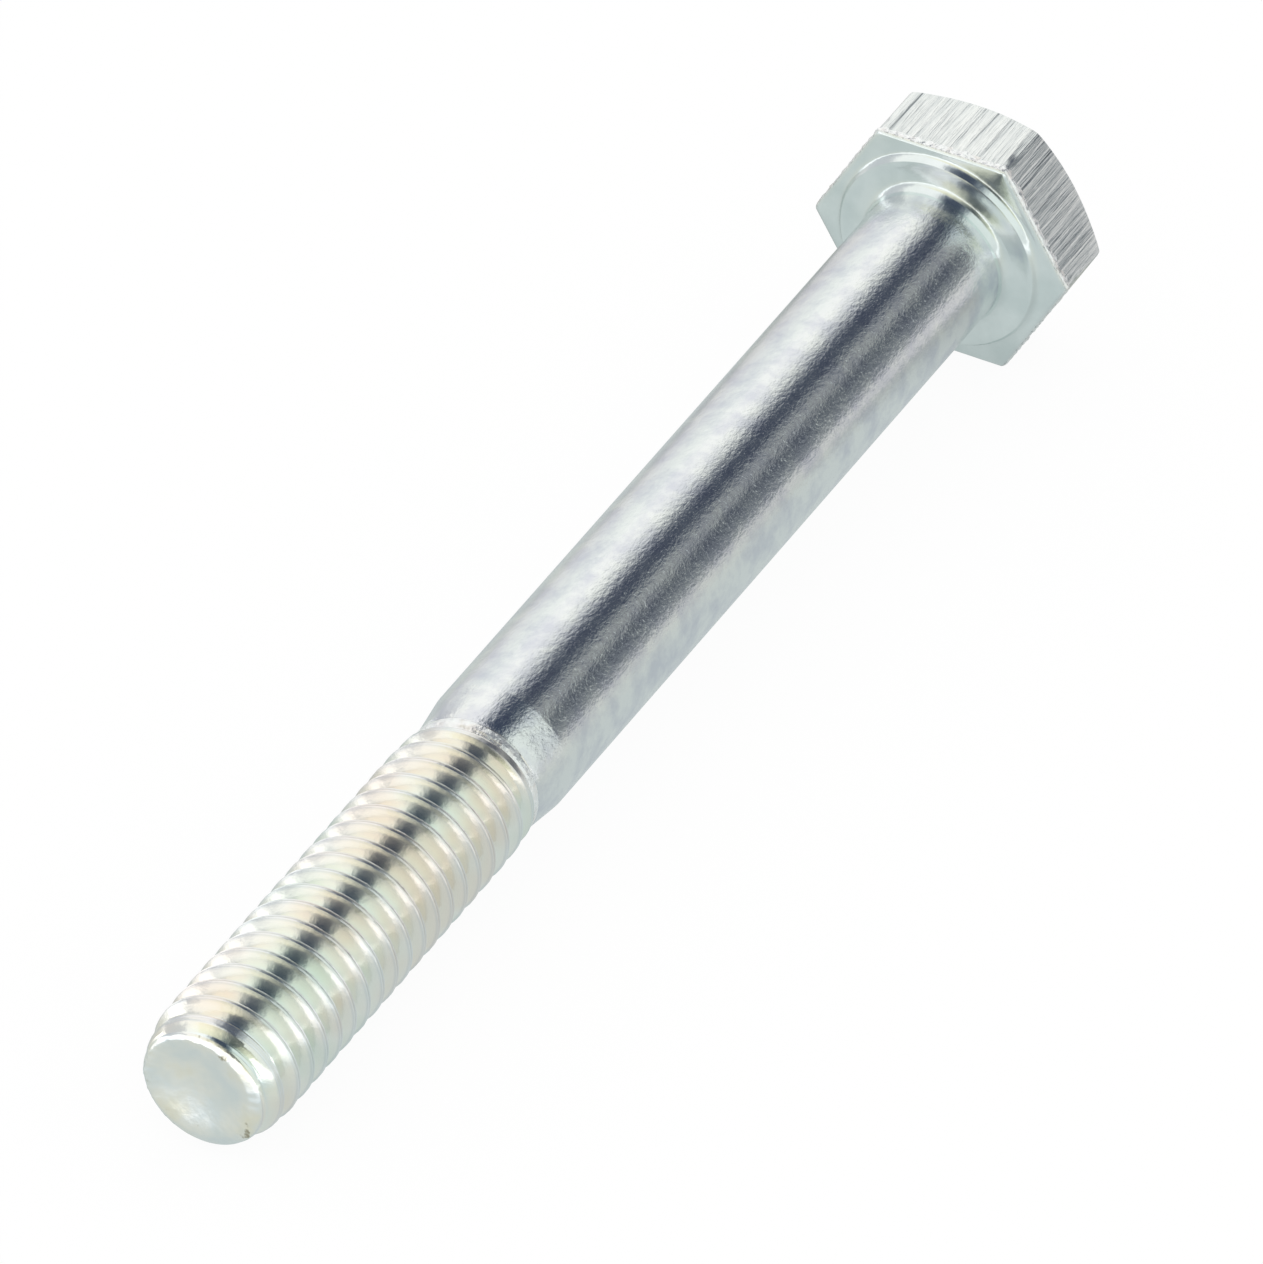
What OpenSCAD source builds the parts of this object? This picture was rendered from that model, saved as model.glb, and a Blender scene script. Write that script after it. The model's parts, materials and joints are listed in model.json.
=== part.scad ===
// Hex bolt, partly threaded, lying along X.
// The origin is the centre of the bearing face under the head. The head is towards +X, the point
// is towards -X, and one flat of the head faces down.

/* [Head] */
// Width across the flats
across_flats = 12.7; // [12.2:0.1:15]
// Height of the head above the bearing face, washer face included
head_h = 5; // [3.5:0.1:8]
// Diameter of the flat circle on top of the head
top_d = 11.6; // [8:0.1:12]
// Slope of the corner chamfer on top of the head, in degrees
chamfer_angle = 30; // [10:1:35]
// Diameter of the washer face under the head
washer_face_d = 11.7; // [10:0.1:12]
// Thickness of the washer face
washer_face_h = 0.4; // [0.2:0.05:0.8]
// Radius of the fillet between the bearing face and the shank
fillet_r = 0.6; // [0.2:0.05:0.8]

/* [Shank] */
// Length from the bearing face to the point
bolt_length = 76.2; // [50:0.1:120]
// Diameter of the plain shank
shank_d = 7.9; // [7.7:0.05:8.2]
// Length from the point to the start of the shoulder
threaded_length = 30.2; // [20:0.1:45]
// Length of the taper between the shank and the thread
shoulder_length = 2.4; // [1.2:0.1:4]
// Diameter of the neck, where the taper meets the thread
neck_d = 7.36; // [7.2:0.02:7.6]

/* [Thread] */
// Diameter over the crests
thread_d = 7.86; // [7.7:0.01:7.9]
// Distance from one turn to the next
pitch = 1.411; // [1.15:0.001:1.75]
// Depth from crest to root, as a share of the pitch
depth_share = 0.6134; // [0.5:0.0001:0.65]
// Angle round the bolt at which the thread starts, in degrees
thread_start = 310; // [0:5:355]
// Flat sides in one turn
thread_sides = 36; // [24:4:40]
// Length over which the last turns fade out towards the neck
runout_length = 3.6; // [2:0.1:6]

/* [Point] */
// Diameter of the end face
point_d = 6.2; // [5.6:0.1:6.4]
// Diameter behind the edge of the end face
point_edge_d = 6.8; // [6.6:0.1:7.2]
// Height of that edge
point_edge_h = 0.2; // [0.2:0.05:0.6]
// Length of the taper from the end face up to the full thread
point_taper = 2.9; // [1.5:0.1:5]
// Depth of the hollow in the end face
dish_depth = 0.5; // [0.1:0.05:0.8]
// Width of the flat rim around the hollow
dish_rim = 0.3; // [0.2:0.05:0.8]

/* [Hidden] */
$fn = 96;
zinc = [0.80, 0.81, 0.80];

// Heights are measured along the bolt from its point.
shoulder_z = threaded_length;
neck_z = threaded_length - shoulder_length;
bearing_z = bolt_length;
hex_z = bolt_length + washer_face_h;
top_z = bolt_length + head_h;

shank_r = shank_d / 2;
neck_r = neck_d / 2;
washer_face_r = washer_face_d / 2;
corner_r = across_flats / 2 / cos(30);
flat_turn = 30;
// Radius of the body that chamfers the hexagon, which clears its corners
chamfer_r = corner_r + 1;

// The threaded rod runs a little way into the plain solids at its two ends, just under their skin.
skin = 0.03;
rod_start = point_edge_h / 2;
rod_end = neck_z + shoulder_length / 2;

thread_r = thread_d / 2;
thread_depth = pitch * depth_share;
// Share of the full depth that is left where the last groove meets the neck
neck_groove = 0.5;

// One turn of the thread, as pairs of a share of the pitch and a share of the depth: the crest is
// an eighth of the pitch wide, the flanks stand at 60 degrees to each other, and the root is round.
crest_share = 1 / 8;
flank_angle = 30;
flank_share = depth_share * tan(flank_angle);
// Height of the root's two shoulders, which makes the root round
root_rise = 0.08;
flank_end = flank_share * (1 - root_rise);
profile = [
    [0, 1],
    [crest_share, 1],
    [crest_share + flank_end, root_rise],
    [(1 + crest_share) / 2, 0],
    [1 - flank_end, root_rise],
    [1, 1],
];
steps = len(profile) - 1;

// Enough turns to pass both ends of the rod whatever the angle
turns = ceil((rod_end - rod_start) / pitch) + 2;
rows = turns * steps;

// 0 before the start, 1 past the end and a straight ramp between them
function ramp(z, start, end) = min(1, max(0, (z - start) / (end - start)));

// Largest radius that the rod may have at height z: it rises off the point and drops to the neck
function envelope(z) =
    let (edge_r = point_edge_d / 2 - skin)
    let (edge_slope = (point_edge_d - point_d) / 2 / point_edge_h)
    let (point = edge_r - edge_slope * max(0, point_edge_h - z))
    let (taper = (thread_r - edge_r) * sin(90 * ramp(z, point_edge_h, point_taper)))
    let (drop = (thread_r - neck_r + skin) * pow(ramp(z, neck_z - runout_length, neck_z), 2))
    min(point + taper, thread_r - drop);

// Radius of the root, which comes up as the thread runs out
function root_r(z) =
    let (fade = ramp(z, neck_z - runout_length / 2, neck_z))
    thread_r - thread_depth * (1 - (1 - neck_groove) * fade);

function rod_r(z, height) = min(envelope(z), root_r(z) + height * (thread_r - root_r(z)));

// Height of a row of the grid at one side of the rod, before it is held to the rod's two ends
function row_z(row, side) =
    let (turn = floor(row / steps) - 1 + side / thread_sides)
    rod_start + pitch * (turn + profile[row % steps][0]);

// Share of the thread's depth at height z on one side of the rod
function height_at(z, side) =
    let (t = (z - rod_start) / pitch - side / thread_sides)
    lookup(t - floor(t), profile);

function rod_point(row, side) =
    let (z = row_z(row, side))
    let (held = min(rod_end, max(rod_start, z)))
    let (height = held == z ? profile[row % steps][1] : height_at(held, side))
    let (r = rod_r(held, height))
    let (angle = thread_start + 360 * side / thread_sides)
    [r * cos(angle), r * sin(angle), held];

// Index of a point of the grid. One full turn further round is one turn further along.
function at(row, side) =
    side < thread_sides ? side * (rows + 1) + min(row, rows) : at(row + steps, side - thread_sides);

// A triangle counts only where its corners are three different points.
function is_whole(points, tri) =
    points[tri[0]] != points[tri[1]]
    && points[tri[1]] != points[tri[2]]
    && points[tri[2]] != points[tri[0]];

module threaded_rod() {
    points = [for (side = [0 : thread_sides - 1], row = [0 : rows]) rod_point(row, side)];
    skin_faces = [
        for (side = [0 : thread_sides - 1], row = [0 : rows - 1])
            for (tri = [
                [at(row, side), at(row + 1, side), at(row + 1, side + 1)],
                [at(row, side), at(row + 1, side + 1), at(row, side + 1)],
            ])
                if (is_whole(points, tri)) tri
    ];
    start_face = [for (side = [0 : thread_sides - 1]) at(0, side)];
    end_face = [for (side = [thread_sides - 1 : -1 : 0]) at(rows, side)];
    polyhedron(points = points, faces = concat(skin_faces, [start_face, end_face]));
}

// Outline of everything that is plain and round: neck, shoulder, shank, fillet and washer face
module round_outline() {
    difference() {
        polygon([
            [0, neck_z],
            [neck_r, neck_z],
            [shank_r, shoulder_z],
            [shank_r, bearing_z - fillet_r],
            [shank_r + fillet_r, bearing_z - fillet_r],
            [shank_r + fillet_r, bearing_z],
            [washer_face_r, bearing_z],
            [washer_face_r, hex_z],
            [0, hex_z],
        ]);
        translate([shank_r + fillet_r, bearing_z - fillet_r]) circle(r = fillet_r);
    }
}

module hex_head() {
    chamfer_drop = (chamfer_r - top_d / 2) * tan(chamfer_angle);
    intersection() {
        translate([0, 0, hex_z])
            rotate([0, 0, flat_turn])
                cylinder(h = top_z - hex_z, r = corner_r, $fn = 6);
        rotate_extrude()
            polygon([
                [0, bearing_z],
                [chamfer_r, bearing_z],
                [chamfer_r, top_z - chamfer_drop],
                [top_d / 2, top_z],
                [0, top_z],
            ]);
    }
}

// The very end of the bolt, ahead of the first groove
module point_edge() {
    cylinder(h = point_edge_h, r1 = point_d / 2, r2 = point_edge_d / 2);
}

// Ball that presses the shallow hollow into the end face
module dish() {
    dish_r = point_d / 2 - dish_rim;
    ball_r = (dish_r * dish_r + dish_depth * dish_depth) / (2 * dish_depth);
    translate([0, 0, dish_depth - ball_r]) sphere(r = ball_r);
}

module hex_bolt() {
    color(zinc)
        translate([-bolt_length, 0, 0])
            rotate([0, 90, 0])
                difference() {
                    union() {
                        rotate_extrude() round_outline();
                        hex_head();
                        threaded_rod();
                        point_edge();
                    }
                    dish();
                }
}

hex_bolt();
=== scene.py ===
import json
import math

import bmesh
import bpy
from mathutils import Matrix, Vector, noise


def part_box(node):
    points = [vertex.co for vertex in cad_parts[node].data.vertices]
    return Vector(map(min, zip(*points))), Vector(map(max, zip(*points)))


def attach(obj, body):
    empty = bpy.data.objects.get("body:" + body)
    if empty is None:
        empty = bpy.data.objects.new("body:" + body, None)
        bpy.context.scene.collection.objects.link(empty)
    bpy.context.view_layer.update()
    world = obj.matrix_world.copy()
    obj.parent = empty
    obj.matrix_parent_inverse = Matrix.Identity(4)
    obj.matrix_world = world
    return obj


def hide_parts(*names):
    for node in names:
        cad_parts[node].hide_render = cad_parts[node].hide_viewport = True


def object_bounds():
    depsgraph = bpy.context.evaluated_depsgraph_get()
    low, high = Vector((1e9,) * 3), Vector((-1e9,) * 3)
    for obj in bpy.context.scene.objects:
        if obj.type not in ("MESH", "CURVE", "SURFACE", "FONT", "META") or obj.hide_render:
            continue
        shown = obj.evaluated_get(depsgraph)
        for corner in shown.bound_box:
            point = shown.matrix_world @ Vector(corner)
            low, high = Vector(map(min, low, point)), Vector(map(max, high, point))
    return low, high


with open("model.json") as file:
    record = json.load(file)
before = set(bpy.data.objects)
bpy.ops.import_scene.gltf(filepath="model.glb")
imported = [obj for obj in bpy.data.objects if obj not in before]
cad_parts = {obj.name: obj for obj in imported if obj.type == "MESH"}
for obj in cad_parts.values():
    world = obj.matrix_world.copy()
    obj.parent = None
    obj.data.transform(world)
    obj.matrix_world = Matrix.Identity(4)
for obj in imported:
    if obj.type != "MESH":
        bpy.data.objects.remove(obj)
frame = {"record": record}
cadLow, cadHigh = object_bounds()

# the bolt is modelled in millimetres and scaled to metres at the end
mm = 0.001
mounts = {mount["name"]: mount for mount in frame["record"]["mounts"]}
boltLow, boltHigh = (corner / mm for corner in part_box("hex_bolt"))
shankRadius = mounts["shank"]["dims"]["r_mm"]
shankHalf = mounts["shank"]["dims"]["length_mm"] / 2
shankMiddle = mounts["shank"]["pos_m"][0] / mm

# sides of every round ring: a multiple of 12, so that the hexagon's corners fall on a side's end
sides = 144
# largest distance between two points that are joined into one, in mm
weld = {"parts": 0.0001, "ends": 0.0002, "sliver": 0.0004, "turns": 0.0005, "held": 0.0008}
ringReach = 0.001


def angleOf(point):
    # angle round the bolt, 0 straight down, growing the way a right-hand thread climbs
    return math.atan2(point.y, -point.z)


def reachOf(point):
    return math.hypot(point.y, point.z)


def placed(x, radius, angle):
    return Vector((x, radius * math.sin(angle), -radius * math.cos(angle)))


def ramp(value, start, end):
    return min(1.0, max(0.0, (value - start) / (end - start)))


def smooth(value, start, end):
    t = ramp(value, start, end)
    return t * t * (3 - 2 * t)


def wander(spot, waves):
    # sum of noises, each given as (rate, weight)
    return sum(weight * noise.noise(spot * rate) for rate, weight in waves)


def pointsOf(items):
    return [item for item in items if isinstance(item, bmesh.types.BMVert)]


def polyline(bm, points, angle):
    verts = [bm.verts.new(placed(x, radius, angle)) for x, radius in points]
    edges = [bm.edges.new(pair) for pair in zip(verts, verts[1:])]
    return verts + edges


def turned(bm, points):
    # a round body from a half outline of (x, radius) points
    bmesh.ops.spin(bm, geom=polyline(bm, points, 0), cent=(0, 0, 0), axis=(1, 0, 0),
                   angle=math.tau, steps=sides, use_merge=True, use_duplicate=False)


def openRing(bm, x):
    # the open edges that lie in the plane at x
    return [edge for edge in bm.edges if edge.is_boundary
            and all(abs(vert.co.x - x) < ringReach for vert in edge.verts)]


def grow(bm, ring, place):
    # extrudes a ring and puts every new point where place(angle) says
    made = bmesh.ops.extrude_edge_only(bm, edges=ring)["geom"]
    for vert in pointsOf(made):
        vert.co = place(angleOf(vert.co))
    return [item for item in made if isinstance(item, bmesh.types.BMEdge)
            and all(vert in made for vert in item.verts)]


def shut(bm, ring, x):
    # closes a small ring with a fan of triangles round one point
    made = bmesh.ops.extrude_edge_only(bm, edges=ring)["geom"]
    bmesh.ops.pointmerge(bm, verts=pointsOf(made), merge_co=(x, 0, 0))


# lengths are in mm unless a note says otherwise, and places on the point are measured from its face
point = {
    "faceRadius": 3.0,
    "edgeRadius": 3.37,
    "edgeHeight": 0.2,
    "taper": 2.9,
    "edgeInset": 0.01,
    # (distance from the face, distance inside the edge), then the same inside the face's own edge
    "edgeCurve": [(0.17, 0.02), (0.14, 0.05), (0.1, 0.1), (0.06, 0.16)],
    "rimCurve": [(0.02, -0.02), (0, 0.05), (0.01, 0.13)],
    "rim": 0.22,              # width of the flat rim round the dish
    "dishStart": 0.03,
    "dishDepth": 0.5,
    "dishRings": 16,
    "dishPower": 1.2,         # above 1, the dish runs softly into its rim
    "noiseRadius": 3,         # noise is read on this circle, so that it closes round the bolt
    "raggedness": 0.08,       # how far the rim's edge wanders
    "raggedWaves": [(1.9, 1), (5, 0.8)],
    "raggedFade": (3.2, 3.3),
    "raggedInside": 0.5,      # the wander starts this far inside the rim
    "lift": 0.03,             # how far the rim is pushed in here and there
    "liftRate": 3.1,
    "liftOffset": (4, 0, 0),
    "offCentre": 0.24,        # the crop leaves the end face off the axis
    "offCentreFade": (2.9, 3.36),
    "ridgeHeight": 0.09,      # fine rings that the rolling dies leave behind the rim
    "ridgePitch": 0.5,
    "ridgeMiddle": 0.34,
    "ridgeFade": (0.9, 1.6),
}
neck = {
    "radius": 3.68,
    "clearance": 0.02,        # the thread ends this far outside the neck
    "length": 2.4,
    "bandWidth": 0.7,         # plain ring between the last groove and the shoulder
    "bandInset": 0.03,        # its edges are this far inside the neck
    "bandCrown": 0.03,        # and its middle stands this far above them
    "bandEnd": 0.04,
    "bandBlend": (-0.12, 0.06),
    "grooveDepth": 0.12,
    "grooveWidths": (0.14, 0.16),
    "shoulderFoot": 0.2,
    "shoulderShares": (0.25, 0.5, 0.75, 0.92, 0.97, 1.0, 1.04),
    "softShares": (0.97, 1.0),
    "softening": 0.004,
}
thread = {
    "pitch": 1.411,
    "depth": 0.8655,
    "crestRadius": 3.93,
    "startAngle": 310,
    "startX": 0.15,           # where the count of pitches starts, from the point's face
    "crestMiddle": 0.0625,    # where the crest stands, in pitches from the start
    "crestShare": 0.2,        # width of the crest, in pitches
    "crestEdge": 0.95,        # height of the crest's two edges, in depths
    "seamDepth": 0.09,        # groove left between the two rolled lips of the crest, in depths
    "rootArc": 0.144,         # radius of the root, in pitches
    "rootStep": 20,           # degrees
    "runout": 3.6,
    "runoutEnd": 0.3,
    "rootFade": (1.3, 0.1),   # the root comes up from so many pitches to so many mm before the neck
    "rootRise": 0.6,
    "wobble": 0.018,          # unevenness of the crest's lips
    "wobbleFrom": 0.9,        # height at which it starts, in depths
    "wobbleGain": 10,         # and what brings it to full size at a height of 1
    "waves": [(2.6, 1), (6.5, 0.6)],
    "roughness": (0.012, 0.01),   # unevenness of the thread and of the neck's ring
    "noiseRadius": 4,
    "clearance": 0.002,       # the thread stays this far inside the shank
}

tipX = boltLow.x
shoulderX = shankMiddle - shankHalf
neckX = shoulderX - neck["length"]
threadStartX = tipX + point["edgeHeight"]


def turnOutline():
    # (share of the pitch, share of the depth) along one turn
    lip = thread["crestShare"]
    seam = thread["seamDepth"]
    edge = thread["crestEdge"]
    crest = [(0, edge), (0.07, 0.985), (0.18, 1), (0.32, 1 - seam), (0.5, 1 - seam * 1.2),
             (0.68, 1 - seam), (0.82, 1), (0.93, 0.985), (1, edge)]
    points = [(share * lip, height) for share, height in crest]
    middle = (1 + lip) / 2
    arc = thread["rootArc"]
    deep = thread["depth"] / thread["pitch"]
    root = []
    for step in range(-3, 4):
        turn = math.radians(thread["rootStep"] * step)
        root.append((middle + arc * math.sin(turn), arc * (1 - math.cos(turn)) / deep))
    (edgeX, edgeH), (rootX, rootH) = points[-1], root[0]
    down = [(edgeX + (rootX - edgeX) * k / 3, edgeH + (rootH - edgeH) * k / 3) for k in (1, 2)]
    up = [(2 * middle - x, height) for x, height in reversed(down)]
    return points + down + root + up + [(1, edge)]


def heightAt(outline, share):
    share -= math.floor(share)
    for (x0, h0), (x1, h1) in zip(outline, outline[1:]):
        if share <= x1:
            return h0 + (h1 - h0) * (share - x0) / (x1 - x0)
    return outline[-1][1]


def envelope(x):
    # largest radius at x: the point's rounded taper, and the drop to the neck
    full = thread["crestRadius"]
    rise = math.sin(math.pi / 2 * ramp(x - tipX, point["edgeHeight"], point["taper"]))
    high = point["edgeRadius"] + (full - point["edgeRadius"]) * rise
    ridge = math.cos(math.tau * (x - tipX - point["ridgeMiddle"]) / point["ridgePitch"])
    high += point["ridgeHeight"] * (0.5 * ridge - 0.5) * (1 - smooth(x - tipX, *point["ridgeFade"]))
    fall = ramp(x, neckX - thread["runout"], neckX - thread["runoutEnd"]) ** 2
    return min(high, full - (full - neck["radius"] - neck["clearance"]) * fall)


def neckBand(x):
    # radius of the plain ring that closes the thread, with a groove on either side
    first, last = neckX - neck["bandWidth"], neckX - neck["bandEnd"]
    firstWidth, lastWidth = neck["grooveWidths"]
    dip = max(1 - abs(x - first) / firstWidth, 1 - abs(x - last) / lastWidth, 0)
    crown = math.sin(math.pi * ramp(x, first, last)) * neck["bandCrown"]
    return neck["radius"] - neck["bandInset"] + crown - neck["grooveDepth"] * smooth(dip, 0, 1)


def rootRadius(x):
    turns, gap = thread["rootFade"]
    fade = ramp(x, neckX - thread["pitch"] * turns, neckX - gap)
    return thread["crestRadius"] - thread["depth"] * (1 - thread["rootRise"] * fade)


def buildThread(bm):
    # one outline of a turn, screwed along the bolt
    outline = turnOutline()
    pitch = thread["pitch"]
    low = thread["crestRadius"] - thread["depth"]
    begin = math.radians(thread["startAngle"])
    # one turn is screwed, and copies of it reach past the two planes that hold the rod
    firstX = tipX + thread["startX"] + pitch * (thread["crestMiddle"] - thread["crestShare"] / 2 - 1)
    points = [(firstX + pitch * share, low + thread["depth"] * height) for share, height in outline]
    bmesh.ops.spin(bm, geom=polyline(bm, points, begin), cent=(0, 0, 0), axis=(1, 0, 0),
                   dvec=(pitch / sides, 0, 0), angle=math.tau, steps=sides,
                   use_merge=False, use_duplicate=False)
    oneTurn = list(bm.verts) + list(bm.edges) + list(bm.faces)
    for turn in range(-1, math.ceil((neckX - firstX) / pitch)):
        copied = bmesh.ops.duplicate(bm, geom=oneTurn)["geom"] if turn else []
        bmesh.ops.translate(bm, verts=pointsOf(copied), vec=(turn * pitch, 0, 0))
    bmesh.ops.remove_doubles(bm, verts=bm.verts, dist=weld["turns"])
    relief = bm.verts.layers.float.new("relief")
    threadRough, bandRough = thread["roughness"]
    bandFrom, bandTo = (neckX - neck["bandWidth"] + blend for blend in neck["bandBlend"])
    for vert in bm.verts:
        x, angle = vert.co.x, angleOf(vert.co)
        height = (reachOf(vert.co) - low) / thread["depth"]
        held = min(neckX, max(threadStartX, x))
        if held != x:
            height = heightAt(outline, (held - firstX) / pitch - (angle - begin) / math.tau)
        spot = placed(held, thread["noiseRadius"], angle)
        rough = wander(spot, thread["waves"])
        over = height - thread["wobbleFrom"]
        if over > 0:
            height += thread["wobble"] * rough / thread["depth"] * over * thread["wobbleGain"]
        base = rootRadius(held)
        radius = base + height * (thread["crestRadius"] - base)
        radius = min(radius, envelope(held) + threadRough * rough)
        band = smooth(held, bandFrom, bandTo)
        radius += (neckBand(held) + bandRough * rough - radius) * band
        vert[relief] = height
        vert.co = placed(held, min(radius, shankRadius - thread["clearance"]), angle)
    bmesh.ops.remove_doubles(bm, verts=bm.verts, dist=weld["held"])
    bmesh.ops.dissolve_degenerate(bm, edges=bm.edges, dist=weld["sliver"])


def buildPoint(bm):
    rimRadius = point["faceRadius"] - point["rim"]
    edge = point["edgeRadius"] - point["edgeInset"]
    outline = [(threadStartX, envelope(threadStartX))]
    outline += [(tipX + back, edge - inset) for back, inset in point["edgeCurve"]]
    outline += [(tipX + back, point["faceRadius"] - inset) for back, inset in point["rimCurve"]]
    for k in range(point["dishRings"]):
        share = 1 - k / point["dishRings"]
        depth = point["dishDepth"] * (1 - share ** 2) ** point["dishPower"]
        outline.append((tipX + point["dishStart"] + depth, rimRadius * share))
    turned(bm, outline)
    shut(bm, openRing(bm, outline[-1][0]), tipX + point["dishStart"] + point["dishDepth"])
    for vert in bm.verts:
        reach = reachOf(vert.co)
        if reach >= point["offCentreFade"][1] or vert.co.x > threadStartX + point["dishDepth"]:
            continue
        angle = angleOf(vert.co)
        spot = placed(0, point["noiseRadius"], angle)
        jag = wander(spot, point["raggedWaves"])
        near = smooth(reach, rimRadius - point["raggedInside"], point["faceRadius"])
        near *= 1 - smooth(reach, *point["raggedFade"])
        bumpy = noise.noise(spot * point["liftRate"] + Vector(point["liftOffset"]))
        lift = point["lift"] * near * (0.5 + bumpy)
        vert.co = placed(max(tipX, vert.co.x + lift), reach + point["raggedness"] * jag * near, angle)
        vert.co.y += point["offCentre"] * (1 - smooth(reach, *point["offCentreFade"]))


washerFace = {
    "radius": 5.6,
    "thickness": 0.4,
    "filletRadius": 0.62,
    "filletSteps": 8,
    "filletAngles": (-90, -8),
    "seatRadius": 6.02,
    # (x, distance outside the fillet), then (x, distance inside the rim): the face is a shallow dish
    "dishCurve": [(0.02, 0.1), (0.05, 0.35)],
    "rimCurve": [(0.03, 0.4), (0.0, 0.12), (0.01, 0.04), (0.06, 0)],
    # (distance below the hexagon, distance outside the rim) of the step up to the hexagon
    "stepCurve": [(0.224, 0.05), (0.098, 0.14), (0.028, 0.26)],
}
shank = {"ringSpacing": 0.45}


def buildBody(bm):
    # shoulder, shank, fillet and washer face
    foot = neck["shoulderFoot"]
    outline = [(neckX, neckBand(neckX)), (neckX + foot / 2, neck["radius"] - neck["bandInset"])]
    outline += [(neckX + foot, neck["radius"])]
    # the taper meets the shank in a soft edge
    for share in neck["shoulderShares"]:
        x = neckX + foot + (neck["length"] - foot) * share
        radius = neck["radius"] + (shankRadius - neck["radius"]) * min(1, share)
        outline.append((x, radius - (neck["softening"] if share in neck["softShares"] else 0)))
    fillet = washerFace["filletRadius"]
    first, last = outline[-1][0], -fillet
    rows = round((last - first) / shank["ringSpacing"])
    outline += [(first + (last - first) * k / rows, shankRadius) for k in range(1, rows)]
    steps = washerFace["filletSteps"]
    start, end = washerFace["filletAngles"]
    for k in range(steps + 1):
        turn = math.radians(start + (end - start) * k / steps)
        x, radius = -fillet + fillet * math.cos(turn), shankRadius + fillet + fillet * math.sin(turn)
        outline.append((x, radius))
    outline += [(x, shankRadius + fillet + out) for x, out in washerFace["dishCurve"]]
    outline += [(x, washerFace["radius"] - inset) for x, inset in washerFace["rimCurve"]]
    outline += [(washerFace["thickness"] - drop, washerFace["radius"] + out)
                for drop, out in washerFace["stepCurve"]]
    outline += [(washerFace["thickness"], washerFace["seatRadius"])]
    turned(bm, outline)


head = {
    "flatInset": 0.03,        # the flats stand this far inside the burr
    "bevel": 0.2,             # rounded edge under the flats
    # (distance above the washer face, share of the bevel still to come)
    "bevelCurve": [(-0.01, 1), (0.02, 0.6), (0.06, 0.25)],
    "burrTop": 0.95,          # height of the burr's ragged upper edge, from the bearing face
    "burrFoot": 0.52,
    "burrReach": 0.08,
    "burrRings": 7,
    "burrSpare": 0.12,        # the rings go on this far above its top
    "burrRange": (-0.04, 0.13),   # what may move, from the burr's foot and top
    "burrEdge": (0.2, 0.16),  # the edge's mean distance below the top, and how far it wanders
    "burrRise": (-0.02, 0.06),
    "burrFall": (-0.05, 0.06),
    "burrPush": (0.75, 0.7),  # mean push and its unevenness, as shares of the reach
    "burrShift": 0.03,
    "footRing": (-0.03, 0.02),    # below the burr's foot, and inside the flats
    "tornWaves": [(1.4, 1), (3.2, 0.8), (7, 0.5)],
    "chunkRates": (2.5, 3.6, 6),
    "shiftRate": 4,
    "noiseRadius": 7,
    "flatRings": (1.5, 2.1, 2.7, 3.3),
    "topRadius": 5.8,
    "chamferAngle": 30,
    # (share of the way up the chamfer, distance below it, distance inside it)
    "chamferRings": [(0, 0.06, 0), (0, 0.012, 0.012), (0, -0.03, 0.07), (0.35, 0, 0), (0.7, 0, 0)],
    # (distance below the top, distance inside its edge), then radii of the rings on the flat top
    "topEdge": [(0.05, -0.06), (0.01, 0.05), (0, 0.16)],
    "topRings": (5.2, 4.4, 3.5, 2.6, 1.7, 0.8),
    "cornerRound": 0.05,
}
topX = boltHigh.x
flatRadius = boltHigh.z - head["flatInset"]
chamferSlope = math.tan(math.radians(head["chamferAngle"]))


def hexRadius(flat, angle):
    # radius of a hexagon of that half width, with slightly blunt corners
    off = (angle + math.pi / 6) % (math.pi / 3) - math.pi / 6
    sharp = flat / math.cos(off)
    return min(sharp, flat / math.cos(math.pi / 6) - head["cornerRound"])


def hexRing(x, flat):
    return lambda angle: placed(x, hexRadius(flat, angle), angle)


def chamferRing(share, below, inside):
    def place(angle):
        corner = hexRadius(flatRadius, angle)
        x = topX - (corner - head["topRadius"]) * chamferSlope * (1 - share)
        radius = corner * (1 - share) + head["topRadius"] * share
        return placed(x - below, radius - inside, angle)
    return place


def buildHead(bm):
    # the ring round the washer face grows into the hexagon
    seatX = washerFace["thickness"]
    foot = head["burrFoot"]
    burrSpan = head["burrTop"] + head["burrSpare"] - foot
    stations = [(seatX + x, flatRadius - head["bevel"] * share) for x, share in head["bevelCurve"]]
    stations += [(foot + head["footRing"][0], flatRadius - head["footRing"][1])]
    stations += [(foot + burrSpan * k / head["burrRings"], flatRadius)
                 for k in range(head["burrRings"] + 1)]
    stations += [(x, flatRadius) for x in head["flatRings"]]
    ring = openRing(bm, seatX)
    for x, flat in stations:
        ring = grow(bm, ring, hexRing(x, flat))
    for share, below, inside in head["chamferRings"]:
        ring = grow(bm, ring, chamferRing(share, below, inside))
    rounds = [(topX - below, head["topRadius"] - inside) for below, inside in head["topEdge"]]
    rounds += [(topX, radius) for radius in head["topRings"]]
    for x, radius in rounds:
        ring = grow(bm, ring, lambda angle, x=x, radius=radius: placed(x, radius, angle))
    shut(bm, ring, topX)
    raiseBurr(bm)


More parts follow.
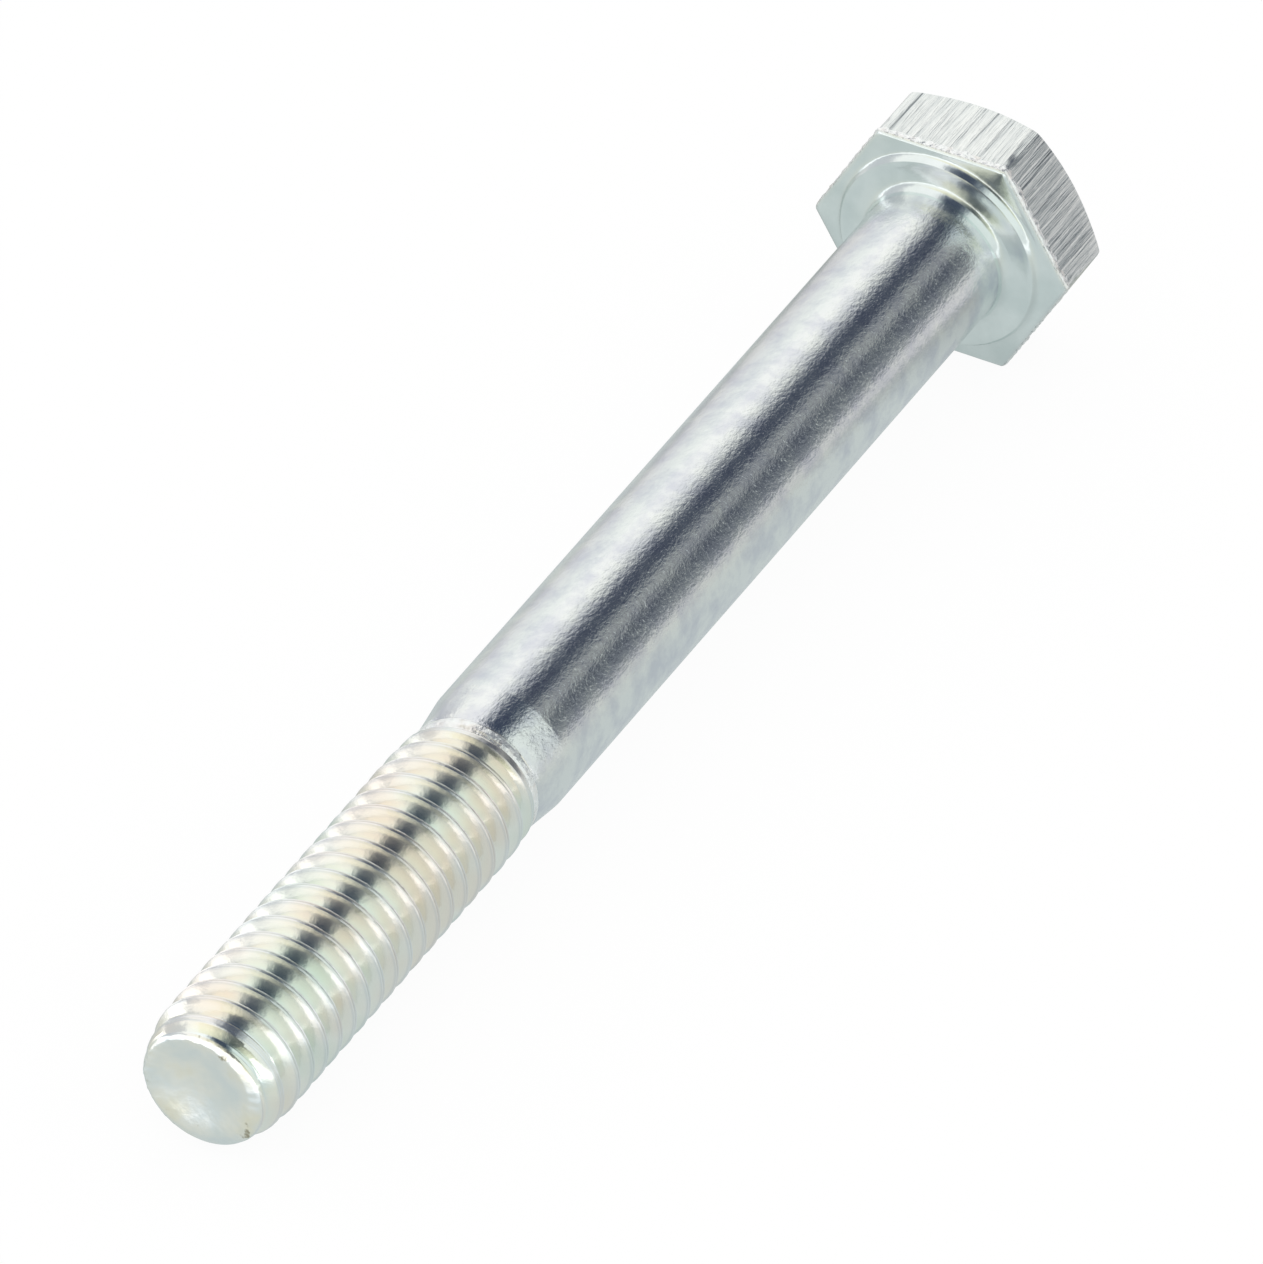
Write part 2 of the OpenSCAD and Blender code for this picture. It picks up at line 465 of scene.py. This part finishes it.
def raiseBurr(bm):
    # the trimming die pushes a torn lip over the lower edge of each flat
    foot, top = head["burrFoot"], head["burrTop"]
    low, high = foot + head["burrRange"][0], top + head["burrRange"][1]
    riseFrom, riseTo = (foot + reach for reach in head["burrRise"])
    fallFrom, fallTo = head["burrFall"]
    meanEdge, edgeWander = head["burrEdge"]
    meanPush, unevenness = head["burrPush"]
    alongRate, roundRate, fineRate = head["chunkRates"]

    def around(edge):
        return abs(edge.verts[0].co.x - edge.verts[1].co.x) < ringReach

    lip = [edge for edge in bm.edges if around(edge) and low < edge.verts[0].co.x < high]
    bmesh.ops.subdivide_edges(bm, edges=lip, cuts=2, use_grid_fill=True)
    for vert in bm.verts:
        x = vert.co.x
        if not low < x < high:
            continue
        angle = angleOf(vert.co)
        spot = placed(0, head["noiseRadius"], angle)
        edge = top - meanEdge + edgeWander * wander(spot, head["tornWaves"])
        chunk = noise.noise(Vector((x * alongRate, 0, 0)) + spot * roundRate)
        chunk += 0.5 * noise.noise(vert.co * fineRate)
        raised = smooth(x, riseFrom, riseTo) * (1 - smooth(x, edge + fallFrom, edge + fallTo))
        push = raised * head["burrReach"] * (meanPush + unevenness * chunk)
        shift = head["burrShift"] * noise.noise(spot * head["shiftRate"]) * raised
        vert.co = placed(x + shift, hexRadius(flatRadius, angle) + push, angle)
        # nothing stands outside the hexagon's own box
        vert.co.y = min(boltHigh.y, max(boltLow.y, vert.co.y))
        vert.co.z = min(boltHigh.z, max(boltLow.z, vert.co.z))


# where one finish gives way to the next, in mm past the edge that each is named for
border = {
    "end": -0.02,
    "dish": 0.6,
    "dishRadius": 2.8,
    "band": (-0.06, -0.04),
    "burrTop": -0.1,
    "burrNoise": (2.5, 0.25),     # rate, and how far the border wanders
    "flatFoot": -0.05,
    "chamfer": -0.04,
}


def finishAt(middle):
    reach = reachOf(middle)
    bandFrom, bandTo = border["band"]
    grain, height = border["burrNoise"]
    burrTop = head["burrTop"] + border["burrTop"] + height * noise.noise(middle * grain)
    chamfer = topX - max(0, reach - head["topRadius"]) * chamferSlope
    if middle.x < threadStartX + border["end"]:
        return "end"
    if middle.x < tipX + border["dish"] and reach < border["dishRadius"]:
        return "end"
    if neckX - neck["bandWidth"] + bandFrom < middle.x < neckX + bandTo:
        return "tornEdge"
    if middle.x < neckX:
        return "thread"
    if head["burrFoot"] < middle.x < burrTop:
        return "tornEdge"
    if head["burrFoot"] + border["flatFoot"] < middle.x < chamfer + border["chamfer"]:
        return "flats"
    if middle.x > -washerFace["filletRadius"]:
        return "head"
    return "shank"


def addObject(name, bm):
    mesh = bpy.data.meshes.new(name)
    bm.to_mesh(mesh)
    bm.free()
    made = bpy.data.objects.new(name, mesh)
    bpy.context.scene.collection.objects.link(made)
    return made


def buildBolt():
    bm = bmesh.new()
    buildThread(bm)
    ends = [len(openRing(bm, x)) for x in (threadStartX, neckX)]
    print("thread", len(bm.verts), "points, ends", *ends)
    other = bmesh.new()
    buildBody(other)
    buildHead(other)
    buildPoint(other)
    bmesh.ops.remove_doubles(other, verts=other.verts, dist=weld["parts"])
    spare = bpy.data.meshes.new("spare")
    other.to_mesh(spare)
    other.free()
    bm.from_mesh(spare)
    bpy.data.meshes.remove(spare)
    for x in (threadStartX, neckX):
        bmesh.ops.bridge_loops(bm, edges=openRing(bm, x))
    bmesh.ops.remove_doubles(bm, verts=bm.verts, dist=weld["ends"])
    bmesh.ops.recalc_face_normals(bm, faces=bm.faces)
    openEdges = sum(1 for edge in bm.edges if not edge.is_manifold)
    for face in bm.faces:
        face.smooth = True
        face.material_index = list(finishes).index(finishAt(face.calc_center_median()))
    bmesh.ops.scale(bm, vec=(mm, mm, mm), verts=bm.verts)
    bmesh.ops.triangulate(bm, faces=[face for face in bm.faces if len(face.verts) > 4])
    bolt = addObject("bolt", bm)
    bolt.data.set_sharp_from_angle(angle=math.radians(32))
    bolt.data.calc_loop_triangles()
    print("bolt", len(bolt.data.loop_triangles), "triangles,", openEdges, "open or shared edges")
    return bolt


def linear(hexColour):
    channels = [int(hexColour[k:k + 2], 16) / 255 for k in (1, 3, 5)]
    return [c / 12.92 if c <= 0.04045 else ((c + 0.055) / 1.055) ** 2.4 for c in channels] + [1.0]


def setInputs(node, inputs):
    for name, value in inputs.items():
        if isinstance(value, bpy.types.NodeSocket):
            node.id_data.links.new(value, node.inputs[name])
        else:
            node.inputs[name].default_value = value


def addNode(tree, kind, inputs=(), stops=(), **settings):
    # stops, for a colour ramp: (position, sRGB colour)
    node = tree.nodes.new(kind)
    for name, value in settings.items():
        setattr(node, name, value)
    setInputs(node, dict(inputs))
    for k, (position, colour) in enumerate(stops):
        elements = node.color_ramp.elements
        while k == 0 and len(elements) > 1:
            elements.remove(elements[-1])
        element = elements.new(position) if k else elements[0]
        element.position, element.color = position, linear(colour)
    return node


def newMaterial(name):
    material = bpy.data.materials.new(name)
    material.use_nodes = True
    tree = material.node_tree
    tree.nodes.clear()
    shader = addNode(tree, "ShaderNodeBsdfPrincipled", {"Metallic": 1.0})
    addNode(tree, "ShaderNodeOutputMaterial", {"Surface": shader.outputs[0]})
    place = addNode(tree, "ShaderNodeTexCoord").outputs["Object"]
    return material, tree, shader, place


def perSize(size):
    # scale of a noise whose patches are about size mm across
    return 1 / (size * mm)


shankFinish = {
    "tint": [(0.36, "#d9dbe2"), (0.6, "#eef0ef")],
    "cloudSize": 1.6,         # mm across one cloud in the plating
    "cloudRange": (0.3, 0.7), # the part of the clouds' range over which the roughness grows
    "roughness": (0.07, 0.12),
    "crinkleSize": 0.24,      # mm from one ripple of the drawn surface to the next
    "crinkleStretch": 0.7,
    "crinkleHeight": 0.025,
    "pitSize": 0.16,          # mm, drawn a little coarser than the real pickling pits so that they show
    "pitRange": (0.28, 0.4),
    "pitHeight": 0.003,
}


def zincPlatedShank():
    # drawn wire under bright zinc: a soft mirror whose ripples and pits crinkle what it reflects
    look = shankFinish
    material, tree, shader, place = newMaterial("zinc_plated_drawn_steel")
    cloud = addNode(tree, "ShaderNodeTexNoise", {"Vector": place, "Scale": perSize(look["cloudSize"]),
                                                 "Detail": 5.0, "Roughness": 0.6})
    tint = addNode(tree, "ShaderNodeValToRGB", {"Fac": cloud.outputs["Fac"]}, look["tint"])
    start, end = look["cloudRange"]
    low, high = look["roughness"]
    gloss = addNode(tree, "ShaderNodeMapRange", {"Value": cloud.outputs["Fac"], "From Min": start,
                                                 "From Max": end, "To Min": low, "To Max": high})
    drawn = addNode(tree, "ShaderNodeMapping", {"Vector": place, "Scale": (look["crinkleStretch"], 1, 1)})
    ripple = addNode(tree, "ShaderNodeTexNoise", {"Vector": drawn.outputs[0], "Detail": 4.0,
                                                  "Scale": perSize(look["crinkleSize"]),
                                                  "Roughness": 0.65})
    pits = addNode(tree, "ShaderNodeTexNoise", {"Vector": place, "Scale": perSize(look["pitSize"]),
                                                "Detail": 2.0})
    low, high = look["pitRange"]
    holes = addNode(tree, "ShaderNodeMapRange", {"Value": pits.outputs["Fac"], "From Min": low,
                                                 "From Max": high})
    first = addNode(tree, "ShaderNodeBump", {"Height": ripple.outputs["Fac"],
                                             "Distance": look["crinkleHeight"] * mm})
    second = addNode(tree, "ShaderNodeBump", {"Height": holes.outputs["Result"],
                                              "Normal": first.outputs[0],
                                              "Distance": look["pitHeight"] * mm})
    setInputs(shader, {"Base Color": tint.outputs["Color"], "Roughness": gloss.outputs["Result"],
                       "Normal": second.outputs[0]})
    return material


threadFinish = {
    # tint by height in the groove, painted reflection: faint green at the root, faint yellow up the
    # flanks, and painted shade of grey in the seam between the crest's two lips and along its edges
    "paintedGrooveTint": [(0.0, "#f2f8f6"), (0.3, "#f8faf3"), (0.6, "#f9f9f1"), (0.82, "#f8f7f1"),
                   (0.94, "#e9ebea"), (1.0, "#f4f5f5")],   # from the root to the crest
    "patchTint": [(0.38, "#f5faf8"), (0.5, "#ffffff"), (0.64, "#fff8f4")],
    "patchSize": 5,
    "roughness": (0.14, 0.26),   # in the groove, and on the crest
    "roughFrom": 0.2,
    "grainSize": 0.3,
    "grainHeight": 0.009,
}


def zincPlatedThread():
    # rolled thread under bright zinc, its colour painted by height in the groove: painted reflection
    # colours and painted shade
    look = threadFinish
    material, tree, shader, place = newMaterial("zinc_plated_rolled_thread")
    relief = addNode(tree, "ShaderNodeAttribute", attribute_name="relief")
    groove = addNode(tree, "ShaderNodeValToRGB", {"Fac": relief.outputs["Fac"]}, look["paintedGrooveTint"])
    cloud = addNode(tree, "ShaderNodeTexNoise", {"Vector": place, "Scale": perSize(look["patchSize"]),
                                                 "Detail": 2.0})
    patches = addNode(tree, "ShaderNodeValToRGB", {"Fac": cloud.outputs["Fac"]}, look["patchTint"])
    mixed = addNode(tree, "ShaderNodeMix", {"Factor": 1.0, "A": groove.outputs["Color"],
                                            "B": patches.outputs["Color"]}, data_type="RGBA",
                    blend_type="MULTIPLY")
    low, high = look["roughness"]
    gloss = addNode(tree, "ShaderNodeMapRange", {"Value": relief.outputs["Fac"], "To Min": low,
                                                 "From Min": look["roughFrom"], "To Max": high})
    grain = addNode(tree, "ShaderNodeTexNoise", {"Vector": place, "Scale": perSize(look["grainSize"]),
                                                 "Detail": 3.0})
    bump = addNode(tree, "ShaderNodeBump", {"Height": grain.outputs["Fac"],
                                            "Distance": look["grainHeight"] * mm})
    setInputs(shader, {"Base Color": mixed.outputs["Result"], "Roughness": gloss.outputs["Result"],
                       "Normal": bump.outputs[0]})
    return material


flatFinish = {
    # the lowest part of the score noise, the bottom of each bumped groove, is painted dark grey: painted
    # shade in the score lines
    "tint": [(0.31, "#84898d"), (0.41, "#dfe2e2"), (0.6, "#f5f6f4")],
    "roughness": 0.2,
    "scoreWidth": 0.3,        # mm between the score lines that the trimming die leaves
    "scoreStretch": 0.035,    # the lines run along the bolt
    "scoreHeight": 0.06,
    "waveWidth": 1.5,
    "waveHeight": 0.05,
}


def zincPlatedFlats():
    # flats sheared by a trimming die: scored along the bolt, then plated, with painted shade in the
    # bottoms of the score lines
    look = flatFinish
    material, tree, shader, place = newMaterial("zinc_plated_sheared_steel")
    along = addNode(tree, "ShaderNodeMapping", {"Vector": place, "Scale": (look["scoreStretch"], 1, 1)})
    score = addNode(tree, "ShaderNodeTexNoise", {"Vector": along.outputs[0], "Detail": 4.0,
                                                 "Scale": perSize(look["scoreWidth"]), "Roughness": 0.7})
    wide = addNode(tree, "ShaderNodeTexNoise", {"Vector": along.outputs[0], "Detail": 2.0,
                                                "Scale": perSize(look["waveWidth"])})
    tint = addNode(tree, "ShaderNodeValToRGB", {"Fac": score.outputs["Fac"]}, look["tint"])
    first = addNode(tree, "ShaderNodeBump", {"Height": wide.outputs["Fac"],
                                             "Distance": look["waveHeight"] * mm})
    second = addNode(tree, "ShaderNodeBump", {"Height": score.outputs["Fac"],
                                              "Normal": first.outputs[0],
                                              "Distance": look["scoreHeight"] * mm})
    setInputs(shader, {"Base Color": tint.outputs["Color"], "Roughness": look["roughness"],
                       "Normal": second.outputs[0]})
    return material


headFinish = {
    "tint": [(0.35, "#e2eae9"), (0.6, "#eff5f4")],
    "cloudSize": 2.4,
    "roughness": 0.17,
    "waveSize": 1.5,
    "waveHeight": 0.03,
    "grainSize": 0.25,
    "grainHeight": 0.005,
}


def zincPlatedHead():
    # cold-forged underside and top of the head: smooth, with soft waves and a faint green cast
    look = headFinish
    material, tree, shader, place = newMaterial("zinc_plated_forged_steel")
    cloud = addNode(tree, "ShaderNodeTexNoise", {"Vector": place, "Scale": perSize(look["cloudSize"]),
                                                 "Detail": 4.0})
    tint = addNode(tree, "ShaderNodeValToRGB", {"Fac": cloud.outputs["Fac"]}, look["tint"])
    wave = addNode(tree, "ShaderNodeTexNoise", {"Vector": place, "Scale": perSize(look["waveSize"]),
                                                "Detail": 2.0})
    grain = addNode(tree, "ShaderNodeTexNoise", {"Vector": place, "Scale": perSize(look["grainSize"]),
                                                 "Detail": 2.0})
    first = addNode(tree, "ShaderNodeBump", {"Height": wave.outputs["Fac"],
                                             "Distance": look["waveHeight"] * mm})
    second = addNode(tree, "ShaderNodeBump", {"Height": grain.outputs["Fac"],
                                              "Normal": first.outputs[0],
                                              "Distance": look["grainHeight"] * mm})
    setInputs(shader, {"Base Color": tint.outputs["Color"], "Roughness": look["roughness"],
                       "Normal": second.outputs[0]})
    return material


tornFinish = {
    "tint": [(0.35, "#f6f2ee"), (0.5, "#ffffff"), (0.65, "#fbfdfb")],
    "cloudSize": 0.8,
    "roughness": 0.36,
    "grainSize": 0.38,
    "grainHeight": 0.11,
}


def zincPlatedTornEdge():
    # metal torn by the trimming die, or left unrolled beside the thread: matt and pale
    look = tornFinish
    material, tree, shader, place = newMaterial("zinc_plated_torn_edge")
    cloud = addNode(tree, "ShaderNodeTexNoise", {"Vector": place, "Scale": perSize(look["cloudSize"]),
                                                 "Detail": 3.0})
    tint = addNode(tree, "ShaderNodeValToRGB", {"Fac": cloud.outputs["Fac"]}, look["tint"])
    grain = addNode(tree, "ShaderNodeTexNoise", {"Vector": place, "Scale": perSize(look["grainSize"]),
                                                 "Detail": 3.0})
    bump = addNode(tree, "ShaderNodeBump", {"Height": grain.outputs["Fac"],
                                            "Distance": look["grainHeight"] * mm})
    setInputs(shader, {"Base Color": tint.outputs["Color"], "Roughness": look["roughness"],
                       "Normal": bump.outputs[0]})
    return material


endFinish = {
    "tint": [(0.34, "#e9eff0"), (0.52, "#f4f5f1"), (0.7, "#f4f1e2")],
    "cloudSize": 2.2,
    "roughness": 0.22,
    "speckTint": "#b3ad99",
    "speckSize": 0.7,
    "speckRange": (0.31, 0.38),
    "cleanRadius": (2.3, 2.9),   # mm from the axis between which the specks come in
    "cleanLift": 0.2,
    "grainSize": 0.45,
    "grainHeight": 0.016,
}


def zincPlatedEnd():
    # cropped and pressed end: duller, with a faint yellow cast and brown specks near its rim
    look = endFinish
    material, tree, shader, place = newMaterial("zinc_plated_cropped_end")
    cloud = addNode(tree, "ShaderNodeTexNoise", {"Vector": place, "Scale": perSize(look["cloudSize"]),
                                                 "Detail": 4.0})
    tint = addNode(tree, "ShaderNodeValToRGB", {"Fac": cloud.outputs["Fac"]}, look["tint"])
    specks = addNode(tree, "ShaderNodeTexNoise", {"Vector": place, "Scale": perSize(look["speckSize"]),
                                                  "Detail": 3.0})
    across = addNode(tree, "ShaderNodeVectorMath", {0: place, 1: (0, 1, 1)}, operation="MULTIPLY")
    reach = addNode(tree, "ShaderNodeVectorMath", {0: across.outputs[0]}, operation="LENGTH")
    near, far = look["cleanRadius"]
    inner = addNode(tree, "ShaderNodeMapRange", {"Value": reach.outputs["Value"], "From Min": near * mm,
                                                 "From Max": far * mm, "To Min": look["cleanLift"],
                                                 "To Max": 0.0})
    kept = addNode(tree, "ShaderNodeMath", {0: specks.outputs["Fac"], 1: inner.outputs["Result"]},
                   operation="ADD")
    low, high = look["speckRange"]
    clean = addNode(tree, "ShaderNodeMapRange", {"Value": kept.outputs[0], "From Min": low,
                                                 "From Max": high})
    mixed = addNode(tree, "ShaderNodeMix", {"Factor": clean.outputs["Result"],
                                            "A": linear(look["speckTint"]),
                                            "B": tint.outputs["Color"]}, data_type="RGBA")
    grain = addNode(tree, "ShaderNodeTexNoise", {"Vector": place, "Scale": perSize(look["grainSize"]),
                                                 "Detail": 4.0})
    bump = addNode(tree, "ShaderNodeBump", {"Height": grain.outputs["Fac"],
                                            "Distance": look["grainHeight"] * mm})
    setInputs(shader, {"Base Color": mixed.outputs["Result"], "Roughness": look["roughness"],
                       "Normal": bump.outputs[0]})
    return material


# the order is the order of the bolt's material slots
finishes = {"shank": zincPlatedShank, "thread": zincPlatedThread, "flats": zincPlatedFlats,
            "end": zincPlatedEnd, "head": zincPlatedHead, "tornEdge": zincPlatedTornEdge}

paper = {
    "size": 3.0,              # metres
    "gap": 0.02,              # mm left under the bolt
    "colour": "#f6f6f5",
    # painted reflection of the paper, which only the metal sees, by mm from the bolt: a painted shadow of
    # the bolt close by, then white
    "paintedReflection": [(0, "#aeb5b5"), (4, "#b8bbb5"), (6.5, "#b8c0c3"), (8.5, "#dce1e1"),
                 (10.5, "#ffffff"), (60, "#ffffff")],
    "besideShare": 0.1,       # the shade reaches farther beside the bolt than beyond its ends
    # how bright the painted reflection glows, towards the point and behind the head: above 1 it is a
    # painted highlight, brighter than the lit paper, for the end's dish
    "paintedReflectionStrength": (1.4, 0.72),   # towards the point, and behind the head
    "strengthFade": (-5, 15),          # mm along the bolt between the two
    "glow": 0.94,             # share of the paper that shines by itself, so that it looks white
}


def buildFloor():
    # pale paper under the lying bolt, which rests on the edge of its head and on its last threads
    bm = bmesh.new()
    bmesh.ops.create_grid(bm, x_segments=2, y_segments=2, size=paper["size"] / 2)
    headX, headZ = washerFace["thickness"] * mm, boltLow.z * mm
    pointX, pointZ = (tipX + point["taper"]) * mm, -thread["crestRadius"] * mm
    tilt = math.atan2(pointZ - headZ, headX - pointX)
    bmesh.ops.rotate(bm, verts=bm.verts, cent=(0, 0, 0), matrix=Matrix.Rotation(tilt, 3, "Y"))
    bmesh.ops.translate(bm, verts=bm.verts, vec=(headX, 0, headZ - paper["gap"] * mm))
    floor = addObject("floor", bm)
    material = bpy.data.materials.new("matt_white_paper")
    material.use_nodes = True
    tree = material.node_tree
    tree.nodes.clear()
    place = addNode(tree, "ShaderNodeTexCoord").outputs["Object"]
    sheet = addNode(tree, "ShaderNodeBsdfDiffuse", {"Color": linear(paper["colour"])})
    glow = addNode(tree, "ShaderNodeEmission", {"Color": linear("#ffffff"), "Strength": 1.0})
    seen = addNode(tree, "ShaderNodeMixShader", {0: paper["glow"], 1: sheet.outputs[0],
                                                 2: glow.outputs[0]})
    # distance from the bolt's box
    middle = (boltLow + boltHigh) / 2
    half = (boltHigh - boltLow) / 2
    away = addNode(tree, "ShaderNodeVectorMath", {0: place, 1: (middle.x * mm, 0, 0)},
                   operation="SUBTRACT")
    oneSide = addNode(tree, "ShaderNodeVectorMath", {0: away.outputs[0]}, operation="ABSOLUTE")
    outside = addNode(tree, "ShaderNodeVectorMath", {0: oneSide.outputs[0],
                                                     1: (half.x * mm, half.y * mm, 1)},
                      operation="SUBTRACT")
    clipped = addNode(tree, "ShaderNodeVectorMath", {0: outside.outputs[0], 1: (0, 0, 0)},
                      operation="MAXIMUM")
    eased = addNode(tree, "ShaderNodeVectorMath", {0: clipped.outputs[0],
                                                   1: (1, paper["besideShare"], 1)},
                    operation="MULTIPLY")
    distance = addNode(tree, "ShaderNodeVectorMath", {0: eased.outputs[0]}, operation="LENGTH")
    farthest = paper["paintedReflection"][-1][0]
    share = addNode(tree, "ShaderNodeMapRange", {"Value": distance.outputs["Value"],
                                                 "From Max": farthest * mm})
    shade = addNode(tree, "ShaderNodeValToRGB", {"Fac": share.outputs["Result"]},
                    [(reach / farthest, colour) for reach, colour in paper["paintedReflection"]])
    split = addNode(tree, "ShaderNodeSeparateXYZ", {"Vector": place})
    bright, dim = paper["paintedReflectionStrength"]
    fadeFrom, fadeTo = paper["strengthFade"]
    strength = addNode(tree, "ShaderNodeMapRange", {"Value": split.outputs["X"],
                                                    "From Min": fadeFrom * mm,
                                                    "From Max": fadeTo * mm,
                                                    "To Min": bright, "To Max": dim})
    # to glossy rays the paper glows by itself: a painted reflection, darkened near the bolt as painted
    # shadow and brightened towards the point as painted highlight
    paintedReflection = addNode(tree, "ShaderNodeEmission", {"Color": shade.outputs["Color"],
                                                    "Strength": strength.outputs["Result"]})
    rays = addNode(tree, "ShaderNodeLightPath")
    both = addNode(tree, "ShaderNodeMixShader", {0: rays.outputs["Is Glossy Ray"],
                                                 1: seen.outputs[0], 2: paintedReflection.outputs[0]})
    addNode(tree, "ShaderNodeOutputMaterial", {"Surface": both.outputs[0]})
    floor.data.materials.append(material)


# A soft light tent round the bolt, which only its metal sees, by angle in degrees from +Y over the
# top to -Y. It has black cards in it, which give the metal its dark bands. One list is for its part
# beyond the head, one for the middle, and one for the part in front of the point.
tent = {
    "headEnd": [(-40, "#d9d9da"), (-10, "#e0e0e3"), (20, "#e6eaea"), (33, "#f2f7f4"), (52, "#ffffff"),
                (64, "#fcfefa"), (76, "#dcdfdd"), (83, "#b3b7b9"), (89, "#747a84"), (97, "#474e5c"),
                (105, "#3d4453"), (113, "#4c5360"), (119, "#6d737b"), (126, "#989c9d"), (137, "#95999a"),
                (145, "#4e555f"), (151, "#4a515b"), (158, "#666c74"), (166, "#777d81"), (174, "#7f858a"),
                (182, "#9ca1a3"), (190, "#c9cdcc"), (200, "#d2d7d5"), (225, "#d3d8d6"),
                (260, "#cfd0d3"), (300, "#d4d3d6")],
    "middle": [(-60, "#cdd0d1"), (8, "#c6c9cd"), (22, "#cacccf"), (30, "#fdfdfa"), (72, "#ffffff"),
               (79, "#8d949b"), (87, "#3e475a"), (106, "#3b4556"), (114, "#78828a"), (121, "#e2eae7"),
               (160, "#e6edea"), (185, "#d3d9d9"), (225, "#c9cdd2"), (260, "#cdd0d1")],
    "pointEnd": [(-60, "#dcdedb"), (-30, "#eceeeb"), (-10, "#ffffff"), (34, "#fffffa"),
                 (46, "#faf7e2"), (62, "#f3efd8"), (80, "#c9c8b6"), (98, "#8d9290"), (110, "#525a5c"),
                 (124, "#434a4d"), (136, "#656c6a"), (149, "#b3b8a6"), (170, "#dde3cb"),
                 (190, "#e1e4cf"), (212, "#e0d8c6"), (235, "#d4d1c7"), (260, "#d6d7d2")],
    "headFade": (0.52, 0.6),      # X of the direction between which the middle gives way
    "pointFade": (-0.7, -0.78),
    "light": 1.06,
    "skyLight": 1.1,              # plain white light on everything else
}


def buildTent():
    world = bpy.data.worlds.new("tent")
    bpy.context.scene.world = world
    world.use_nodes = True
    tree = world.node_tree
    tree.nodes.clear()
    way = addNode(tree, "ShaderNodeTexCoord").outputs["Generated"]
    parts = addNode(tree, "ShaderNodeSeparateXYZ", {"Vector": way})
    turn = addNode(tree, "ShaderNodeMath", {0: parts.outputs["Z"], 1: parts.outputs["Y"]},
                   operation="ARCTAN2")
    # the seam of the angle is at -Z, below the floor
    for step, operand in (("ADD", math.pi / 2), ("FLOORED_MODULO", math.tau), ("DIVIDE", math.tau)):
        turn = addNode(tree, "ShaderNodeMath", {0: turn.outputs[0], 1: operand}, operation=step)
    colours = {}
    for name in ("headEnd", "middle", "pointEnd"):
        stops = sorted((((degrees + 90) % 360) / 360, colour) for degrees, colour in tent[name])
        colours[name] = addNode(tree, "ShaderNodeValToRGB", {"Fac": turn.outputs[0]}, stops)
    shown = colours["middle"].outputs["Color"]
    for name, fade in (("headEnd", tent["headFade"]), ("pointEnd", tent["pointFade"])):
        start, end = fade
        share = addNode(tree, "ShaderNodeMapRange", {"Value": parts.outputs["X"], "From Min": start,
                                                     "From Max": end},
                        interpolation_type="SMOOTHSTEP")
        shown = addNode(tree, "ShaderNodeMix", {"Factor": share.outputs["Result"], "A": shown,
                                                "B": colours[name].outputs["Color"]},
                        data_type="RGBA").outputs["Result"]
    rays = addNode(tree, "ShaderNodeLightPath")
    inside = addNode(tree, "ShaderNodeBackground", {"Color": shown, "Strength": tent["light"]})
    sky = addNode(tree, "ShaderNodeBackground", {"Color": linear("#ffffff"),
                                                 "Strength": tent["skyLight"]})
    mixed = addNode(tree, "ShaderNodeMixShader", {0: rays.outputs["Is Glossy Ray"],
                                                  1: sky.outputs[0], 2: inside.outputs[0]})
    addNode(tree, "ShaderNodeOutputWorld", {"Surface": mixed.outputs[0]})
    bpy.context.scene.view_settings.view_transform = "Standard"


shot = {
    "azimuth": -61.05,
    "elevation": 38.64,
    "roll": -0.285,
    "distance": 1.3185,
    "lens": 749.8,
    "along": -1.525,          # aim, in mm from the middle of the bolt: along it, then across the view
    "right": 2.32,
    "up": 1.051,
    "clipEnd": 100,
}


def buildCamera():
    a, e, r = (math.radians(shot[key]) for key in ("azimuth", "elevation", "roll"))
    back = Vector((math.sin(a) * math.cos(e), -math.cos(a) * math.cos(e), math.sin(e)))
    level = Vector((math.cos(a), math.sin(a), 0))
    upright = back.cross(level)
    right = math.cos(r) * level + math.sin(r) * upright
    up = -math.sin(r) * level + math.cos(r) * upright
    middle = (cadLow + cadHigh) / 2
    aim = middle + (Vector((shot["along"], 0, 0)) + right * shot["right"] + up * shot["up"]) * mm
    data = bpy.data.cameras.new("camera")
    data.lens = shot["lens"]
    data.clip_end = shot["clipEnd"]
    camera = bpy.data.objects.new("camera", data)
    turn = Matrix((right, up, back)).transposed().to_4x4()
    camera.matrix_world = Matrix.Translation(aim + back * shot["distance"]) @ turn
    bpy.context.scene.collection.objects.link(camera)
    bpy.context.scene.camera = camera


buildCamera()
print("camera in place")
bolt = buildBolt()
for makeMaterial in finishes.values():
    bolt.data.materials.append(makeMaterial())
print("materials", [material.name for material in bolt.data.materials])
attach(bolt, "root")
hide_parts("hex_bolt")
buildFloor()
print("floor in place")
buildTent()
print("tent in place")
bpy.context.view_layer.update()
